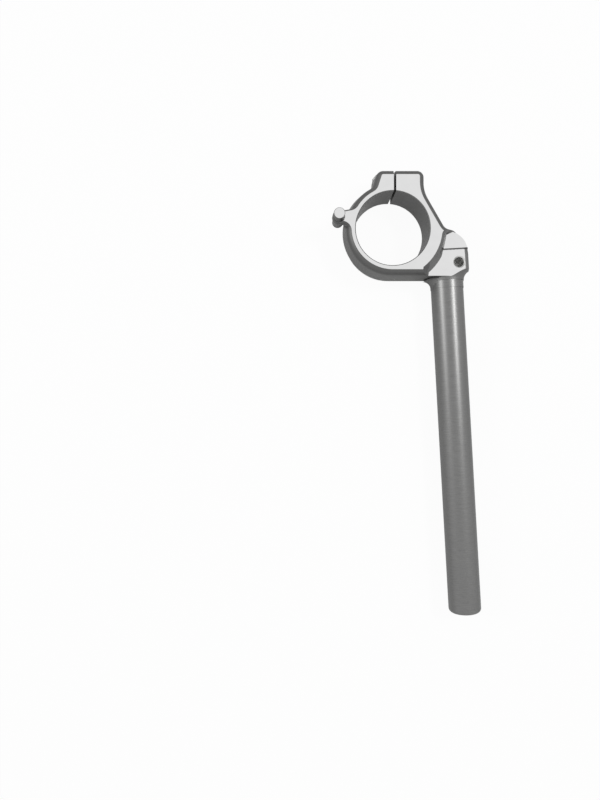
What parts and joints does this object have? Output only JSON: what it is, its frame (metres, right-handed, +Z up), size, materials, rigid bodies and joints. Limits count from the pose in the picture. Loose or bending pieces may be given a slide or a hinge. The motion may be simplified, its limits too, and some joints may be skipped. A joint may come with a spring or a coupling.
{
  "type": "motorcycle clip-on handlebar",
  "caption": "One-piece clip-on handlebar: split fork clamp with pinch ears, stop pin, stepped boss with a tapped hole, and a round bar.",
  "frame": {"origin": "on the fork axis, at the underside of the clamp", "axes": "+Z up along the fork axis, +Y towards the pinch slit, and the bar runs towards -Y with a few degrees of sweep towards +X"},
  "size_m": [0.1044, 0.305, 0.0385],
  "materials": {
    "alloy": "satin grey cast alloy, with bright milled faces and a turned bar"
  },
  "bodies": {
    "root": {"handlebar": "alloy"}
  },
  "joints": []
}
